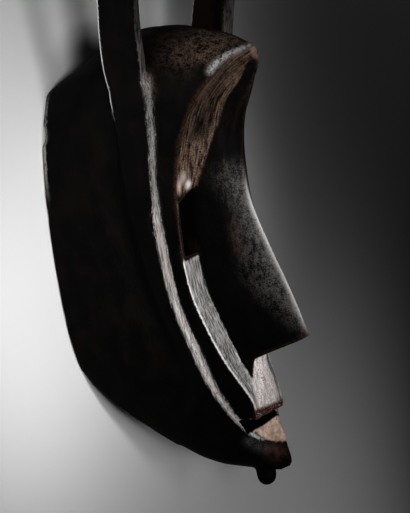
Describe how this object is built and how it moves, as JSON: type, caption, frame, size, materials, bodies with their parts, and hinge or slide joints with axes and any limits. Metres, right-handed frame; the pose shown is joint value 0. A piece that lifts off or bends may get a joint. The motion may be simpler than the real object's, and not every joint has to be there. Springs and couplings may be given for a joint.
{
  "type": "kore mask",
  "caption": "Carved wooden face mask with a long wedge nose, pierced eyes, side bands that run on into flat plank horns, a chin peg and a deep hollow back.",
  "frame": {"origin": "middle of the footprint on the surface the mask lies on, its flat back rim at z = 0", "axes": "+X across the face, +Y from the chin peg to the horn tips, +Z the way the face looks, up when it lies down"},
  "size_m": [0.1914, 0.537, 0.177],
  "materials": {
    "wood": "black satin patina, worn to bare brown wood on the edges, brow and lip"
  },
  "bodies": {
    "root": {"mask": "wood"}
  },
  "joints": []
}
